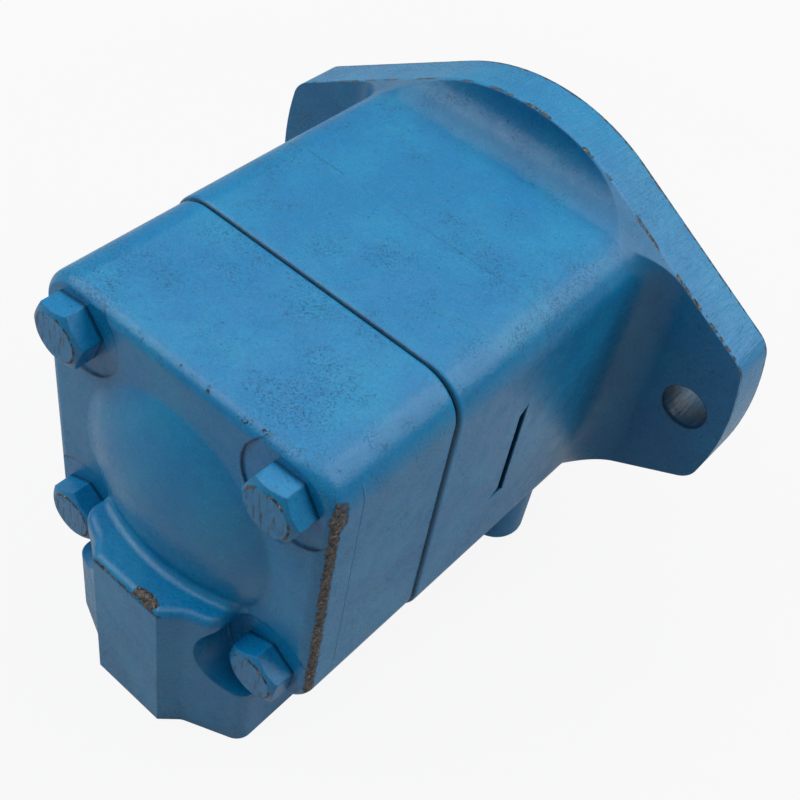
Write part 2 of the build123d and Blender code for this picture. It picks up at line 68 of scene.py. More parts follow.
# Places on the body. Where there are two radii, a mark begins at the first and is whole at the
# second.
SEAM_Y = -98.5 * MM
BODY_SIDE_X = 48.9 * MM
BODY_BORE_RADIUS = 38 * MM
PARTING_Y = -62.9 * MM
PARTING_Z = (30 * MM, 44 * MM)
FLASH_X = 40 * MM
FLASH_Y = (-72 * MM, -64.7 * MM)
FLASH_Z = (-18 * MM, 20 * MM)
COVE_Y = (-34 * MM, -20 * MM)
FLANGE_BACK_Y = -15.2 * MM
RIM_RADII = (55 * MM, 59 * MM)
EAR_X = 73 * MM
EAR_HOLE_RADII = (7.6 * MM, 7.3 * MM)

# Places on the cover and its screws, which stand SCREW_SPACING from the axis in X and in Z.
COVER_BACK_Y = -141.9 * MM
COVER_SIDE_X = 48.2 * MM
COVER_EDGE_Z = 46.6 * MM
COVER_BORE_Y = -127 * MM
COVER_BORE_RADIUS = 42 * MM
MOULD_RIDGE_Y = (-131.3 * MM, -130.9 * MM)
MOULD_RIDGE_Z = (-32 * MM, 41 * MM)
NOSE_Y = -159.4 * MM
NOSE_TOP_Z = -21.6 * MM
SCREW_SPACING = 35.1 * MM
SCREW_SEAT_Y = (-139 * MM, -140 * MM)
SCREW_SEAT_RADII = (14.3 * MM, 14.9 * MM)
HEAD_FOOT_Y = (-142.6 * MM, -141.7 * MM)
HEAD_TOP_Y = -148.7 * MM
HEAD_FACE_RADIUS = 6.75 * MM

# Both ports open downwards.
Port = namedtuple("Port", "centre_y radius mouth_z roof_z")
OUTLET = Port(-137.0 * MM, 12.5 * MM, -74.6 * MM, -24.0 * MM)
INLET = Port(-41.9 * MM, 19.6 * MM, -61.6 * MM, -27.0 * MM)
THREAD_START = 1.2 * MM
THREAD_CLEARANCE = 0.02 * MM

# How far a machined bore's mask, and a machined face's, reaches past the bare metal.
FADE = 0.1 * MM
SKIN = 0.04 * MM

# Distances from the shaft's axis between which the paint goes from wiped clean to dirty.
WIPED_RADII = (38 * MM, 47 * MM)

# Widths of the patterns in the enamel and in the iron under it.
PEEL = 2.2 * MM
SWELL = 11 * MM
CHALKING = 21 * MM
PIT_PATCH = 15 * MM
PIT = 0.5 * MM
LONE_PIT = 1.3 * MM
SHEEN = 5 * MM
IRON_GRAIN = 1.0 * MM
SCUFF = 0.9 * MM
CHIP = 1.8 * MM
OIL_STAIN = 22 * MM

# Colours that no setting holds, hex sRGB.
# a paler blue painted on raised lines: a painted highlight
RIDGE_HIGHLIGHT_PAINT = "4FA3D2"
LIFTED_PAINT = "0E1A22"
DARK_OXIDE = "11100F"
PALE_OXIDE = "6F645B"
SCUFFED_IRON = "ACA196"
OILY_IRON = "857F78"
OILY_STEEL = "6B655E"

# The studio. Glossy rays see this much of the floor's paleness and of the white sky.
FLOOR_REACH = 20.0
FLOOR_GAP = 0.2 * MM
WHITENING = (0.25, 1.0)
FLOOR_IN_GLOSS = 0.15
SKY_IN_GLOSS = 0.4
PUMP_MIDDLE = (0.0, -0.06, 0.0)
CAMERA_PLACE = (0.14081, -0.27252, 0.25474)
CAMERA_AXES = (
    (0.74804734, 0.64911578, 0.13810824),
    (-0.55708558, 0.50108979, 0.66224216),
    (0.36066721, -0.5723266, 0.73645192),
)


# ---------------------------------------------------------------- helpers


def linear(colour):
    """Turns a hex sRGB colour such as "1F6FA8" into linear red, green, blue and alpha."""
    channels = [int(colour[i : i + 2], 16) / 255 for i in (0, 2, 4)]
    curve = [c / 12.92 if c <= 0.04045 else ((c + 0.055) / 1.055) ** 2.4 for c in channels]
    return (*curve, 1.0)


def put(tree, kind, *values, out=0, **named):
    """Adds one shader node and returns one of its outputs, if it has any.

    The values fill its sockets in order. A name sets the property of that name, or else fills
    the socket of that name."""
    node = tree.nodes.new("ShaderNode" + kind)
    for name in [name for name in named if hasattr(node, name)]:
        setattr(node, name, named.pop(name))
    pairs = list(zip([socket for socket in node.inputs if socket.enabled], values))
    pairs += [(node.inputs[name.replace("_", " ")], value) for name, value in named.items()]
    for socket, value in pairs:
        if isinstance(value, bpy.types.NodeSocket):
            tree.links.new(value, socket)
        else:
            socket.default_value = value
    outputs = [socket for socket in node.outputs if socket.enabled]
    return outputs[out] if outputs else None


# Outputs by their place in the node.
OBJECT_COORDINATES = 3
CAMERA_RAY, GLOSSY_RAY, TRANSMISSION_RAY = 0, 3, 6
BACKFACING = 6

SMOOTH = {"interpolation_type": "SMOOTHSTEP"}
COLOUR = {"data_type": "RGBA"}
TIMES = {"operation": "MULTIPLY"}
PLUS = {"operation": "ADD"}
LESS = {"operation": "SUBTRACT"}
MOST = {"operation": "MAXIMUM"}

# Axes along which a distance is measured: from the shaft's axis, and from an upright line such
# as a port's axis.
FROM_SHAFT = (1, 0, 1)
FROM_PORT = (1, 1, 0)


def new_material(name):
    """An empty material: it, a function that adds nodes to it, and its object coordinates."""
    material = bpy.data.materials.new(name)
    material.use_nodes = True
    material.node_tree.nodes.clear()
    n = partial(put, material.node_tree)
    return material, n, n("TexCoord", out=OBJECT_COORDINATES)


def dress(names, material):
    """Gives CAD nodes or modelled pieces one material."""
    for name in names:
        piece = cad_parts[name] if isinstance(name, str) else name
        piece.data.materials.clear()
        piece.data.materials.append(material)


def reach(n, place, centre, axes=(1, 1, 1)):
    """Distance from a point, or from a line through it where an axis is left out."""
    offset = n("VectorMath", place, centre, **LESS)
    return n("VectorMath", n("VectorMath", offset, axes, **TIMES), operation="LENGTH")


def band(n, value, low, high, soft, inside=1.0):
    """Mask of `inside` between low and high, fading to nothing over `soft` on either side."""
    above = n("MapRange", value, low - soft, low + soft, 0.0, inside, **SMOOTH)
    return n("MapRange", value, high + soft, high - soft, 0.0, above, **SMOOTH)


def widest(n, masks):
    """The largest of several masks at each place."""
    result = masks[0]
    for mask in masks[1:]:
        result = n("Math", result, mask, **MOST)
    return result


# ---------------------------------------------------------------- settings


class PumpEnamel(bpy.types.PropertyGroup):
    """The enamel over the castings."""

    colour: bpy.props.StringProperty(
        name="Enamel", description="Main colour, hex sRGB", default="0586C2"
    )
    faded: bpy.props.StringProperty(
        name="Faded", description="Colour where it has chalked", default="1092C8"
    )
    # also the colour of the painted shade darkened into seams, joints and hollows
    grime_and_shade: bpy.props.StringProperty(
        name="Grime", description="Colour of oily dirt in pits", default="062238"
    )
    grit: bpy.props.FloatProperty(
        name="Grit", description="Grain of the moulding sand", default=0.55 * MM, unit="LENGTH"
    )
    gloss: bpy.props.FloatProperty(
        name="Roughness", description="Roughness of the paint film", default=0.25, subtype="FACTOR"
    )
    wear: bpy.props.FloatProperty(
        name="Wear",
        description="How much paint is gone at the edges",
        default=1.0,
        subtype="FACTOR",
    )


class PumpSteel(bpy.types.PropertyGroup):
    """Bare iron and steel."""

    iron: bpy.props.StringProperty(
        name="Iron", description="Machined grey iron, hex sRGB", default="ABA9A6"
    )
    steel: bpy.props.StringProperty(
        name="Steel", description="Ground steel, hex sRGB", default="B9B9BA"
    )
    tool_mark: bpy.props.FloatProperty(
        name="Tool marks", description="Feed of the turning tool", default=0.35 * MM, unit="LENGTH"
    )


class PumpThread(bpy.types.PropertyGroup):
    """The straight threads of both ports."""

    pitch: bpy.props.FloatProperty(
        name="Pitch", description="Twelve threads per inch", default=25.4 / 12 * MM, unit="LENGTH"
    )
    depth: bpy.props.FloatProperty(
        name="Depth", description="Height of a ridge", default=0.9 * MM, unit="LENGTH"
    )
    length: bpy.props.FloatProperty(
        name="Length", description="Length of thread", default=20 * MM, unit="LENGTH"
    )


class PumpStage(bpy.types.PropertyGroup):
    """The floor, the lamps and the camera."""

    floor_colour: bpy.props.StringProperty(
        name="Floor", description="Floor colour, hex sRGB", default="BABBBD"
    )
    key_power: bpy.props.FloatProperty(
        name="Key", description="Overhead softbox", default=10.8, unit="POWER"
    )
    side_power: bpy.props.FloatProperty(
        name="Sides", description="Each side softbox", default=3.5, unit="POWER"
    )
    sky: bpy.props.FloatProperty(
        name="Sky", description="Strength of the light all round", default=0.02
    )
    paleness: bpy.props.FloatProperty(
        name="Paleness",
        description="How far the floor is lifted towards white",
        default=0.9,
        subtype="FACTOR",
    )
    lens: bpy.props.FloatProperty(
        name="Lens", description="Focal length in mm", default=56.57, unit="CAMERA"
    )


# ---------------------------------------------------------------- castings


def sand(n, place, settings, dirt_spread):
    """Sprayed satin enamel over sand-cast grey iron: its colour, roughness and height.

    The film follows the grain of the moulding sand, which breaks the light into a fine sparkle.
    It has a slight orange-peel skin, chalks in soft patches, and holds oily dirt in its pits."""
    grain = n("TexNoise", place, Scale=1 / settings.grit, Detail=3.0, Roughness=0.6)
    peel = n("TexNoise", place, Scale=1 / PEEL, Detail=1.0)
    swell = n("TexNoise", place, Scale=1 / SWELL, Detail=2.0)
    patches = n("TexNoise", place, Scale=1 / CHALKING, Detail=4.0, Roughness=0.6)
    chalk = n("MapRange", patches, 0.40, 0.66, **SMOOTH)
    colour = n("Mix", chalk, linear(settings.colour), linear(settings.faded), **COLOUR)
    shade = n("MapRange", grain, 0.66, 0.30, 0.0, 0.36)
    colour = n("Mix", shade, colour, linear(settings.grime_and_shade), **COLOUR)
    # dense patches of fine pits, and a few lone ones between them, moved so that no other
    # pattern of this paint lies in step with them
    moved = n("VectorMath", place, (0.07, 0.03, 0.05), **PLUS)
    cloud = n("TexNoise", moved, Scale=1 / PIT_PATCH, Detail=3.0, Roughness=0.65)
    cloud = n("MapRange", cloud, 0.62 - 0.16 * dirt_spread, 0.74 - 0.08 * dirt_spread, **SMOOTH)
    pits = n("TexNoise", moved, Scale=1 / PIT, Detail=2.0, Roughness=0.55)
    pits = n("MapRange", pits, 0.56, 0.63, 0.0, cloud, **SMOOTH)
    lone = n("TexNoise", moved, Scale=1 / LONE_PIT, Detail=2.0, Roughness=0.6)
    lone = n("MapRange", lone, 0.69, 0.735, **SMOOTH)
    # the dome and the faces round it are wiped clean in handling
    outer = n("MapRange", reach(n, place, (0, 0, 0), FROM_SHAFT), *WIPED_RADII, 0.15, 1.0)
    dirt = n("Math", n("Math", pits, lone, **MOST), outer, **TIMES)
    colour = n("Mix", n("Math", dirt, 0.5, **TIMES), colour, linear(settings.grime_and_shade), **COLOUR)
    height = n("Math", n("Math", grain, 0.11, **TIMES), n("Math", peel, 0.08, **TIMES), **PLUS)
    height = n("Math", height, n("Math", swell, 0.35, **TIMES), **PLUS)
    height = n("Math", height, n("Math", dirt, 0.08, **TIMES), **LESS)
    gloss = n("TexNoise", place, Scale=1 / SHEEN, Detail=3.0)
    gloss = n("MapRange", gloss, 0.3, 0.7, settings.gloss - 0.05, settings.gloss + 0.07)
    return colour, gloss, height


def knocked_iron(n, place):
    """Oxidised cast iron where the paint is knocked off: brown-grey, pitted, with bright scuffs."""
    fine = n("TexNoise", place, Scale=1 / IRON_GRAIN, Detail=3.0, Roughness=0.75)
    fine = n("MapRange", fine, 0.42, 0.58, **SMOOTH)
    oxide = n("Mix", fine, linear(DARK_OXIDE), linear(PALE_OXIDE), **COLOUR)
    moved = n("VectorMath", place, (0.5, 0.5, 0.5), **PLUS)
    scuff = n("TexNoise", moved, Scale=1 / SCUFF, Detail=2.0)
    scuff = n("MapRange", scuff, 0.60, 0.68, **SMOOTH)
    return n("Mix", scuff, oxide, linear(SCUFFED_IRON), **COLOUR)


def machined_port(n, place, port):
    """Distance from a port's axis, a mask of its bore, and one of the faced pad round it."""
    z = n("SeparateXYZ", place, out=2)
    across = reach(n, place, (0, port.centre_y, 0), FROM_PORT)
    bore = n("MapRange", across, port.radius + FADE, port.radius + FADE / 2)
    bore = n("MapRange", z, port.roof_z + FADE, port.roof_z, 0.0, bore)
    pad = n("MapRange", z, port.mouth_z + SKIN, port.mouth_z + SKIN / 2)
    return across, bore, pad


def casting(name, scene, place_masks, dirt_spread=1.0):
    """One painted iron casting.

    `place_masks` takes the node function and the object coordinates, and gives four masks and a
    distance:
    painted shade darkening seams, joints and hollows, with a few real dark marks; edges where paint
    is knocked off; slight raised lines; bare machined places; and the distance along which the tool
    fed there."""
    enamel, metal = scene.pump_enamel, scene.pump_steel
    material, n, place = new_material(name)
    colour, gloss, height = sand(n, place, enamel, dirt_spread)
    painted_shade_and_dark_marks, worn, ridges, bare, fed = place_masks(n, place)
    # painted shade: seams, joints and hollows are darkened towards the grime colour; a few of these
    # marks are real scratches and dirt
    colour = n("Mix", n("Math", painted_shade_and_dark_marks, 0.85, **TIMES), colour, linear(enamel.grime_and_shade), **COLOUR)
    # painted highlight: raised lines are lightened towards a paler blue
    colour = n("Mix", n("Math", ridges, 0.35, **TIMES), colour, linear(RIDGE_HIGHLIGHT_PAINT), **COLOUR)
    # a chip has a ragged outline, and the paint round it is lifted and dark
    ragged = n("TexNoise", place, Scale=1 / CHIP, Detail=5.0, Roughness=0.78)
    ragged = n("Math", n("Math", ragged, 0.5, **LESS), 1.5, **TIMES)
    chipped = n("Math", n("Math", worn, enamel.wear, **TIMES), ragged, **PLUS)
    lifted = n("MapRange", chipped, 0.44, 0.56, 0.0, 0.85, **SMOOTH)
    gone = n("MapRange", chipped, 0.53, 0.60, **SMOOTH)
    colour = n("Mix", lifted, colour, linear(LIFTED_PAINT), **COLOUR)
    colour = n("Mix", gone, colour, knocked_iron(n, place), **COLOUR)
    # turned iron: a bright grey with the fine rings of the tool and a brown stain of old oil
    rings = n("Math", n("Math", fed, 2 * math.pi / metal.tool_mark, **TIMES), operation="SINE")
    oil = n("TexNoise", place, Scale=1 / OIL_STAIN, Detail=4.0)
    oil = n("MapRange", oil, 0.45, 0.8, 0.0, 0.5, **SMOOTH)
    iron = n("Mix", oil, linear(metal.iron), linear(OILY_IRON), **COLOUR)
    colour = n("Mix", bare, colour, iron, **COLOUR)
    height = n("Math", height, n("Math", gone, 0.35, **TIMES), **LESS)
    height = n("Math", height, n("Math", ridges, 0.5, **TIMES), **PLUS)
    # the film rounds every edge that it covers, and a cut edge stays sharp
    eased = n("Bevel", 0.7 * MM, samples=4)
    painted = n("Bump", Height=height, Distance=0.6 * MM, Normal=eased)
    cut = n("Bump", Height=rings, Distance=0.006 * MM)
    normal = n("Mix", bare, painted, cut, data_type="VECTOR")
    rough = n("Math", gloss, n("MapRange", chipped, 0.44, 0.60, 0.0, 0.3), **PLUS)
    shader = n(
        "BsdfPrincipled", Base_Color=colour, Roughness=rough, Metallic=bare, IOR=1.45, Normal=normal
    )
    n("OutputMaterial", shader)
    return material


class PUMP_OT_body(bpy.types.Operator):
    """Paints the body, bares its mounting face, pilot and bores, and wears its flange rim"""

    bl_idname = "pump.body"
    bl_label = "Body"

    @staticmethod
    def masks(n, place):
        x, y, z = (n("SeparateXYZ", place, out=i) for i in range(3))
        folded = n("VectorMath", place, operation="ABSOLUTE")
        centre = reach(n, place, (0, 0, 0), FROM_SHAFT)
        patchy = n("TexNoise", place, Scale=1 / (8 * MM), Detail=2.0)
        # painted shade darkens the seam, the flash groove and the inside of the ear holes
        painted_seam_shade = n("MapRange", y, SEAM_Y + 0.6 * MM, SEAM_Y + 0.15 * MM, 0.0, 0.8, **SMOOTH)
        painted_flash_shade = band(n, y, *FLASH_Y, 0.2 * MM)
        painted_flash_shade = band(n, z, *FLASH_Z, 0.2 * MM, painted_flash_shade)
        painted_flash_shade = band(n, x, FLASH_X, BODY_SIDE_X - 0.35 * MM, 0.3 * MM, painted_flash_shade)
        painted_hole_shade = n("MapRange", reach(n, folded, (EAR_X, 0, 0), FROM_SHAFT), *EAR_HOLE_RADII)
        # painted shade darkens the coves and webs against the flange's back
        cove_shade_ramp = n("MapRange", y, *COVE_Y, 0.0, 0.34, **SMOOTH)
        painted_cove_shade = n("MapRange", y, FLANGE_BACK_Y + FADE, FLANGE_BACK_Y + FADE / 2, 0.0, cove_shade_ramp)
        # over the dome the parting line is broken: darker to the right, and to the left a ridge
        # painted paler as a painted highlight
        parting = band(n, y, PARTING_Y - 0.12 * MM, PARTING_Y + 0.12 * MM, 0.12 * MM)
        parting = n("MapRange", z, *PARTING_Z, 0.0, parting, **SMOOTH)
        parting = n("MapRange", patchy, 0.36, 0.50, 0.0, parting, **SMOOTH)
        parting_darker_right = n("MapRange", x, -16 * MM, 4 * MM, **SMOOTH)
        parting_darker_right = n("Math", n("Math", parting, parting_darker_right, **TIMES), 0.6, **TIMES)
        painted_highlight_left = n("MapRange", x, -8 * MM, -18 * MM, 0.0, parting, **SMOOTH)
        painted_shade_and_dark_marks = widest(n, (painted_seam_shade, painted_flash_shade, painted_hole_shade, painted_cove_shade, parting_darker_right))
        # the flange's rim was knocked against benches, mostly along its back edge
        back = band(n, y, FLANGE_BACK_Y + FADE, FLANGE_BACK_Y + 1.3 * MM, 0.06 * MM)
        back = n("MapRange", patchy, 0.42, 0.56, 0.0, back, **SMOOTH)
        back = n("MapRange", centre, *RIM_RADII, 0.0, back, **SMOOTH)
        front = band(n, y, -0.9 * MM, 0.1 * MM, 0.4 * MM, 0.9)
        beside = band(n, y, SEAM_Y + 0.9 * MM, SEAM_Y + 1.9 * MM, 0.5 * MM, 0.85)
        beside = n("MapRange", patchy, 0.60, 0.70, 0.0, beside, **SMOOTH)
        worn = n("Math", widest(n, (back, front, beside)), 0.58, **TIMES)
        # file strokes lie along the rim, too fine to show unless drawn as wide as this; they are
        # raised, and painted paler as a painted highlight
        strokes = n("VectorMath", place, (1, 0.08, 1), **TIMES)
        strokes = n("TexNoise", strokes, Scale=1 / (0.7 * MM), Detail=2.0)
        rim = band(n, y, FLANGE_BACK_Y + 1 * MM, 0.0, 0.5 * MM, strokes)
        rim = n("MapRange", centre, *RIM_RADII, 0.0, rim, **SMOOTH)
        ridges = n("Math", rim, painted_highlight_left, **MOST)
        # turned and faced places: mounting face, pilot, bores, seam face, inlet and its pad
        face = n("MapRange", y, -SKIN, -SKIN / 2)
        bores = n("MapRange", centre, BODY_BORE_RADIUS + FADE, BODY_BORE_RADIUS)
        seam_face = n("MapRange", y, SEAM_Y + SKIN, SEAM_Y + SKIN / 2)
        _, port, pad = machined_port(n, place, INLET)
        pad = n("MapRange", y, FLANGE_BACK_Y - 0.4 * MM, FLANGE_BACK_Y - 0.5 * MM, 0.0, pad)
        return painted_shade_and_dark_marks, worn, ridges, widest(n, (face, bores, seam_face, port, pad)), centre

    def execute(self, context):
        # foundry blue enamel on grey iron: satin, with a soft grain and a greyish sheen at a slant
        dress(["body"], casting("body_enamel_on_sand_cast_iron", context.scene, self.masks))
        return {"FINISHED"}


class PUMP_OT_cover(bpy.types.Operator):
    """Paints the cover, wears its right-hand corner and the nose of the outlet boss"""

    bl_idname = "pump.cover"
    bl_label = "Cover"

    @staticmethod
    def masks(n, place):
        x, y, z = (n("SeparateXYZ", place, out=i) for i in range(3))
        folded = n("VectorMath", place, operation="ABSOLUTE")
        patchy = n("TexNoise", place, Scale=1 / (5 * MM), Detail=2.0)
        # painted shade darkens the seam and the edge round each screw's seat
        painted_seam_shade = n("MapRange", y, SEAM_Y - 0.8 * MM, SEAM_Y - 0.2 * MM, 0.0, 0.8, **SMOOTH)
        seat_shade = reach(n, folded, (SCREW_SPACING, 0, SCREW_SPACING), FROM_SHAFT)
        seat_shade = band(n, seat_shade, *SCREW_SEAT_RADII, 0.25 * MM, 0.6)
        seat_shade = n("MapRange", y, *SCREW_SEAT_Y, 0.0, seat_shade)
        painted_shade_and_dark_marks = widest(n, (painted_seam_shade, seat_shade))
        # the right-hand corner was dragged: a bare band that widens near the top
        corner = (COVER_SIDE_X - 0.3 * MM, COVER_BACK_Y + 2.2 * MM, 0)
        drag = n("MapRange", reach(n, place, corner, FROM_PORT), 2.7 * MM, 0.7 * MM, **SMOOTH)
        drag = n("MapRange", z, 46 * MM, 41 * MM, 0.0, drag, **SMOOTH)
        splash = reach(n, place, (47.5 * MM, -138.5 * MM, 36 * MM), (1, 1, 0.55))
        splash = n("MapRange", splash, 4.6 * MM, 1.5 * MM, 0.0, 0.9, **SMOOTH)
        # chips along the top back edge, from left of the middle to the right-hand corner
        top = reach(n, place, (0, COVER_BACK_Y + 1.4 * MM, COVER_EDGE_Z), (0, 1, 1))
        top = n("MapRange", top, 2.6 * MM, 0.8 * MM, 0.0, 0.60, **SMOOTH)
        top = n("MapRange", x, -26 * MM, -18 * MM, 0.0, top, **SMOOTH)
        top = n("MapRange", patchy, 0.44, 0.56, 0.0, top, **SMOOTH)
        # the nose's top edge is rubbed bright, and one place beside it is broken away
        nose = reach(n, place, (0, NOSE_Y + 0.5 * MM, NOSE_TOP_Z), (0, 1, 1))
        nose = n("MapRange", nose, 1.0 * MM, 0.2 * MM, 0.0, 0.95, **SMOOTH)
        knock = (6.5 * MM, NOSE_Y + 1.6 * MM, NOSE_TOP_Z + 1.2 * MM)
        knock = reach(n, place, knock, (0.45, 1, 1))
        knock = n("MapRange", knock, 2.9 * MM, 1.2 * MM, **SMOOTH)
        worn = n("Math", widest(n, (drag, splash, top, nose, knock)), 0.70, **TIMES)
        # a thin ridge down the right side, left by the joint of the mould, raised and painted paler
        # as a painted highlight
        ridge = band(n, y, *MOULD_RIDGE_Y, 0.25 * MM)
        ridge = n("MapRange", x, COVER_SIDE_X - 2 * MM, COVER_SIDE_X - 1 * MM, 0.0, ridge)
        ridge = band(n, z, *MOULD_RIDGE_Z, 2 * MM, ridge)
        # turned and faced places: bores, seam face, outlet and its pad
        bores = reach(n, place, (0, 0, 0), FROM_SHAFT)
        bores = n("MapRange", bores, COVER_BORE_RADIUS + FADE, COVER_BORE_RADIUS)
        bores = n("MapRange", y, COVER_BORE_Y - FADE, COVER_BORE_Y, 0.0, bores)
        seam_face = n("MapRange", y, SEAM_Y - SKIN, SEAM_Y - SKIN / 2)
        across, port, pad = machined_port(n, place, OUTLET)
        return painted_shade_and_dark_marks, worn, ridge, widest(n, (bores, seam_face, port, pad)), across

    def execute(self, context):
        # the same enamel, dirtier, because hands and tools reach this end
        dress(["cover"], casting("cover_enamel_on_sand_cast_iron", context.scene, self.masks, 1.3))
        return {"FINISHED"}


class PUMP_OT_screws(bpy.types.Operator):
    """Paints the screw heads, with scratched faces and bright rubbed arcs; the shanks stay steel"""

    bl_idname = "pump.screws"
    bl_label = "Cover screws"

    @staticmethod
    def masks(n, place):
        y = n("SeparateXYZ", place, out=1)
        folded = n("VectorMath", place, operation="ABSOLUTE")
        across = reach(n, folded, (SCREW_SPACING, 0, SCREW_SPACING), FROM_SHAFT)
        patchy = n("TexNoise", place, Scale=1 / (4.5 * MM), Detail=2.0)
        # painted shade darkens the foot of each head, where it meets the cover
        painted_foot_shade = n("MapRange", y, *HEAD_FOOT_Y, 0.0, 0.8, **SMOOTH)
        # spanner and bench scratches across the faces
        slant = n("Mapping", place, Rotation=(0.0, 0.7, 0.0), Scale=(1.0, 1.0, 0.12))
        lines = n("TexNoise", slant, Scale=1 / (0.8 * MM), Detail=2.0, Distortion=0.6)
        lines = n("MapRange", lines, 0.55, 0.63, 0.0, 0.8, **SMOOTH)
        lines = n("MapRange", y, HEAD_TOP_Y + 0.3 * MM, HEAD_TOP_Y + 0.1 * MM, 0.0, lines)
        painted_shade_and_dark_marks = widest(n, (painted_foot_shade, lines))
        # the edge of the round top face is rubbed through in arcs
        arc = band(n, across, HEAD_FACE_RADIUS - 0.3 * MM, HEAD_FACE_RADIUS + 0.5 * MM, 0.35 * MM)
        arc = n("MapRange", y, HEAD_TOP_Y + 1.5 * MM, HEAD_TOP_Y + 1 * MM, 0.0, arc)
        arc = n("MapRange", patchy, 0.42, 0.52, 0.0, arc, **SMOOTH)
        worn = n("Math", arc, 0.68, **TIMES)
        bare = n("MapRange", y, COVER_BACK_Y + 0.6 * MM, COVER_BACK_Y + 0.7 * MM)
        return painted_shade_and_dark_marks, worn, 0.0, bare, y

    def execute(self, context):
        # the same enamel over smooth forged steel, scuffed by the spanner
        dress(["cover_screws"], casting("screw_enamel_on_steel", context.scene, self.masks, 0.8))
        return {"FINISHED"}


# ---------------------------------------------------------------- bare metal and rubber


def turned(name, colour, roughness, feed):
    """Turned or ground metal: fine rings round the shaft's axis and a thin brown stain of oil."""
    material, n, place = new_material(name)
    y = n("SeparateXYZ", place, out=1)
    rings = n("Math", n("Math", y, 2 * math.pi / feed, **TIMES), operation="SINE")
    oil = n("TexNoise", place, Scale=1 / (6 * MM), Detail=3.0)
    oil = n("MapRange", oil, 0.5, 0.75, 0.0, 0.35, **SMOOTH)
    base = n("Mix", oil, linear(colour), linear(OILY_STEEL), **COLOUR)
    gloss = n("TexNoise", place, Scale=1 / (0.9 * MM), Detail=3.0)
    gloss = n("MapRange", gloss, 0.3, 0.7, roughness - 0.05, roughness + 0.08)
    eased = n("Bevel", 0.25 * MM, samples=4)
    normal = n("Bump", Height=rings, Distance=0.004 * MM, Normal=eased)
    shader = n("BsdfPrincipled", Base_Color=base, Roughness=gloss, Metallic=1.0, Normal=normal)
    n("OutputMaterial", shader)
    return material


class PUMP_OT_running_gear(bpy.types.Operator):
    """Gives the shaft, bearing, cartridge, springs and seals their own finishes"""

    bl_idname = "pump.running_gear"
    bl_label = "Running gear"

    def execute(self, context):
        settings = context.scene.pump_steel
        # ground alloy steel: bright, with rings too fine to show at their real width
        vanes = [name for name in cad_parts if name.startswith("vane_")]
        ground = turned("ground_alloy_steel", settings.steel, 0.27, 0.25 * MM)
        dress(["drive_shaft", "shaft_key", "cam_ring", "dowel_pins", "rotor", *vanes], ground)
        # lapped bearing steel: nearly a mirror
        lapped = turned("lapped_bearing_steel", "CBCBCC", 0.16, 0.12 * MM)
        bearing = ["bearing_outer_race", "bearing_inner_race", "bearing_balls", "bearing_cage"]
        dress([*bearing, "shaft_seal_case"], lapped)
        # oil-blacked spring steel: a dark oxide that still shines a little
        blacked = turned("oil_blacked_spring_steel", "3B3A3C", 0.38, 0.3 * MM)
        dress(["body_snap_ring", "shaft_snap_ring", "plate_spring"], blacked)
        # leaded bronze: warm yellow-brown, softly turned
        bronze = turned("leaded_bronze", "B08A4E", 0.32, 0.35 * MM)
        dress(["shaft_bush", "pressure_plate"], bronze)
        # moulded nitrile rubber: black, with a faint grey bloom and a matt skin
        material, n, place = new_material("moulded_nitrile_rubber")
        bloom = n("TexNoise", place, Scale=1 / (3 * MM), Detail=3.0)
        bloom = n("MapRange", bloom, 0.4, 0.7, **SMOOTH)
        black = n("Mix", bloom, linear("151515"), linear("292827"), **COLOUR)
        rough = n("MapRange", bloom, 0.0, 1.0, 0.55, 0.75)
        skin = n("Bump", Height=n("TexNoise", place, Scale=1 / (0.4 * MM)), Distance=0.02 * MM)
        rubber = n("BsdfPrincipled", Base_Color=black, Roughness=rough, IOR=1.5, Normal=skin)
        n("OutputMaterial", rubber)
        dress(["shaft_seal_lip", "plate_seal", "seam_seal"], material)
        return {"FINISHED"}


# ---------------------------------------------------------------- modelled pieces


def grid_piece(name, points, material):
    """Puts a (rows, columns, 3) array of points in the scene as one smooth quad surface.

    Each row is closed: its last point joins its first."""
    rows, columns = points.shape[:2]
    left = np.arange(rows * columns).reshape(rows, columns)
    right = np.roll(left, -1, axis=1)
    quads = np.stack((left[:-1], right[:-1], right[1:], left[1:]), axis=-1).reshape(-1, 4)
    mesh = bpy.data.meshes.new(name)
    mesh.vertices.add(rows * columns)
    mesh.vertices.foreach_set("co", points.astype(np.float32).ravel())
    mesh.loops.add(quads.size)
    mesh.loops.foreach_set("vertex_index", quads.astype(np.int32).ravel())
    mesh.polygons.add(len(quads))
    mesh.polygons.foreach_set("loop_start", np.arange(0, quads.size, 4, dtype=np.int32))
    mesh.polygons.foreach_set("use_smooth", np.ones(len(quads), dtype=bool))
    mesh.update(calc_edges=True)
    mesh.validate()
    piece = bpy.data.objects.new(name, mesh)
    bpy.context.scene.collection.objects.link(piece)
    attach(piece, "housing")
    dress([piece], material)


def thread_points(port, settings):
    """A straight thread seen from inside the bore.

    r(a, z) = R - c - d * max(0, 1 - |2 * frac(z / p - a / 2 pi) - 1| * 1.25), a ridge of height d
    winding round the bore with pitch p, c clear of the wall of radius R. The ridge rises from
    nothing over the first pitch and sinks back over the last."""
    turns = np.linspace(0, 2 * np.pi, 72, endpoint=False)
    along = np.arange(0, settings.length, settings.pitch / 8)
    z, a = np.meshgrid(along, turns, indexing="ij")
    phase = np.mod(z / settings.pitch - a / (2 * np.pi), 1.0)
    ridge = np.clip(1 - np.abs(2 * phase - 1) * 1.25, 0, None)
    fade = np.clip(np.minimum(z, settings.length - z) / settings.pitch, 0, 1)
    r = port.radius - THREAD_CLEARANCE - settings.depth * ridge * fade
    height = port.mouth_z + THREAD_START + z
    return np.stack((r * np.cos(a), port.centre_y + r * np.sin(a), height), axis=-1)


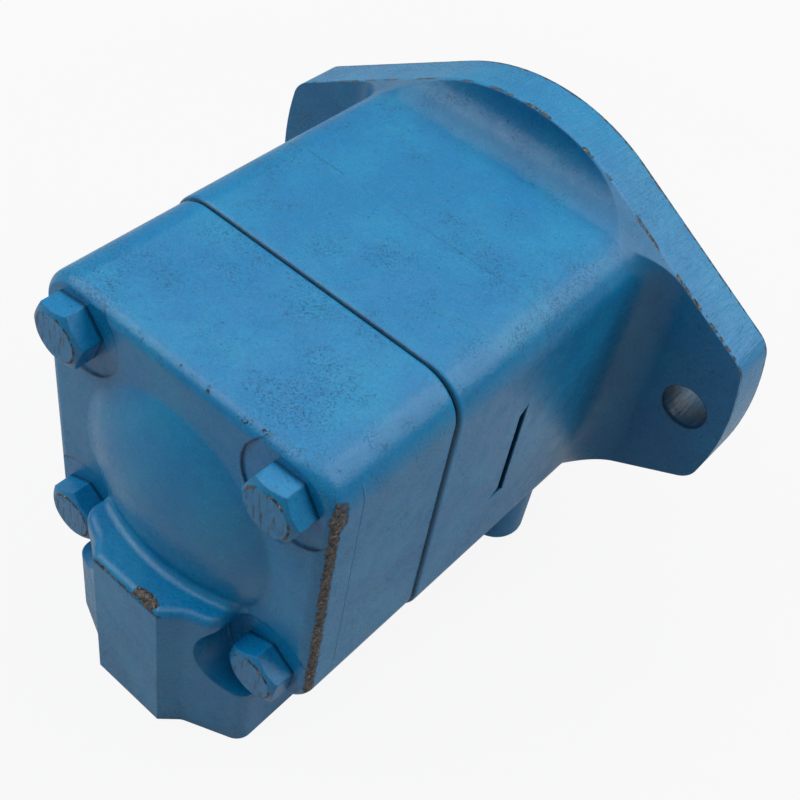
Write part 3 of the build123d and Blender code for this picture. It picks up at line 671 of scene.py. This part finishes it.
class PUMP_OT_threads(bpy.types.Operator):
    """Winds the ridges of a straight thread inside the inlet and the outlet"""

    bl_idname = "pump.threads"
    bl_label = "Port threads"

    def execute(self, context):
        settings = context.scene.pump_thread
        # tapped iron: duller than a turned face
        tapped = turned("tapped_iron", context.scene.pump_steel.iron, 0.4, 0.3 * MM)
        for name, port in (("outlet_thread", OUTLET), ("inlet_thread", INLET)):
            grid_piece(name, thread_points(port, settings), tapped)
        return {"FINISHED"}


# ---------------------------------------------------------------- studio


def stand(axes, place):
    """Matrix of something at `place` whose own X, Y and Z point along the three axes."""
    rows = [[*(axis[i] for axis in axes), place[i]] for i in range(3)]
    return Matrix(rows + [[0.0, 0.0, 0.0, 1.0]])


def aim(place, target):
    """Matrix that stands at `place` with -Z towards `target` and Y as near up as it can be."""
    back = np.array(place, float) - np.array(target, float)
    back /= np.linalg.norm(back)
    side = np.cross((0.0, 0.0, 1.0), back)
    side /= np.linalg.norm(side)
    return stand((side, np.cross(back, side), back), place)


def softbox(name, place, target, size, power):
    """Adds a round area lamp that faces its target."""
    lamp_data = bpy.data.lights.new(name, "AREA")
    lamp_data.shape = "DISK"
    lamp_data.size = size
    lamp_data.energy = power
    lamp = bpy.data.objects.new(name, lamp_data)
    bpy.context.scene.collection.objects.link(lamp)
    lamp.matrix_world = aim(place, target)


def seen_white(n, gloss_share):
    """Mask of the rays that see white: from the camera, through glass, and a share of glossy."""
    glossy = n("Math", n("LightPath", out=GLOSSY_RAY), gloss_share, **TIMES)
    return widest(n, (n("LightPath", out=CAMERA_RAY), glossy, n("LightPath", out=TRANSMISSION_RAY)))


class PUMP_OT_stage(bpy.types.Operator):
    """Builds the floor, the lamps, the sky and the camera"""

    bl_idname = "pump.stage"
    bl_label = "Studio"

    def execute(self, context):
        settings = context.scene.pump_stage
        scene = context.scene
        scene.view_settings.view_transform = "Standard"
        low, far = CAD_BOX[0][2] - FLOOR_GAP, FLOOR_REACH
        mesh = bpy.data.meshes.new("floor")
        corners = [(-far, -far, low), (far, -far, low), (far, far, low), (-far, far, low)]
        mesh.from_pydata(corners, [], [(0, 1, 2, 3)])
        floor = bpy.data.objects.new("floor", mesh)
        scene.collection.objects.link(floor)
        # matt white paper: the camera and, less so, glossy rays see it paler, and wholly white far
        # off, but it keeps a soft shadow; from underneath it is not seen at all
        material, n, place = new_material("matt_white_paper")
        distance = n("VectorMath", place, operation="LENGTH")
        lift = n("MapRange", distance, *WHITENING, settings.paleness, 1.0)
        lift = n("Math", seen_white(n, FLOOR_IN_GLOSS), lift, **TIMES)
        paper = n("BsdfPrincipled", Base_Color=linear(settings.floor_colour), Roughness=0.9)
        above = n("MixShader", lift, paper, n("Emission", (1, 1, 1, 1), 1.0))
        under = n("NewGeometry", out=BACKFACING)
        n("OutputMaterial", n("MixShader", under, above, n("BsdfTransparent")))
        mesh.materials.append(material)

        # the sky is white to look at and gives next to no light
        world = bpy.data.worlds.new("studio_sky")
        scene.world = world
        world.use_nodes = True
        world.node_tree.nodes.clear()
        n = partial(put, world.node_tree)
        strength = n("MapRange", seen_white(n, SKY_IN_GLOSS), 0.0, 1.0, settings.sky, 1.0)
        n("OutputWorld", n("Background", (1, 1, 1, 1), strength))

        # the overhead lamp faces a hair off straight down, where `aim` would find no side
        softbox("overhead_softbox", (-0.1, 0.1, 1.0), (-0.1, 0.1001, 0.0), 1.8, settings.key_power)
        sides = {"left_softbox": (-0.60, -0.58, 0.60), "right_softbox": (0.60, 0.46, 0.60)}
        for name, place in sides.items():
            softbox(name, place, PUMP_MIDDLE, 0.8, settings.side_power)

        camera_data = bpy.data.cameras.new("camera")
        camera_data.lens = settings.lens
        camera_data.sensor_width = 36.0
        camera = bpy.data.objects.new("camera", camera_data)
        scene.collection.objects.link(camera)
        camera.matrix_world = stand(CAMERA_AXES, CAMERA_PLACE)
        scene.camera = camera
        return {"FINISHED"}


# ---------------------------------------------------------------- add-on


class PUMP_PT_panel(bpy.types.Panel):
    """Lists the finishing steps and their settings"""

    bl_label = "Vane Pump"
    bl_idname = "PUMP_PT_panel"
    bl_space_type = "VIEW_3D"
    bl_region_type = "UI"
    bl_category = "Vane Pump"

    def draw(self, context):
        for step in STEPS:
            self.layout.operator(step.bl_idname)
        for name in GROUPS:
            group = getattr(context.scene, name)
            for setting in group.__annotations__:
                self.layout.prop(group, setting)


GROUPS = {
    "pump_enamel": PumpEnamel,
    "pump_steel": PumpSteel,
    "pump_thread": PumpThread,
    "pump_stage": PumpStage,
}
STEPS = (
    PUMP_OT_stage,
    PUMP_OT_body,
    PUMP_OT_cover,
    PUMP_OT_screws,
    PUMP_OT_running_gear,
    PUMP_OT_threads,
)
CLASSES = (*GROUPS.values(), *STEPS, PUMP_PT_panel)


def register():
    for cls in CLASSES:
        bpy.utils.register_class(cls)
    for name, group in GROUPS.items():
        setattr(bpy.types.Scene, name, bpy.props.PointerProperty(type=group))


def unregister():
    for name in GROUPS:
        delattr(bpy.types.Scene, name)
    for cls in reversed(CLASSES):
        bpy.utils.unregister_class(cls)


def main():
    register()
    for step in STEPS:
        getattr(bpy.ops.pump, step.bl_idname.split(".")[1])()


if __name__ == "__main__":
    main()
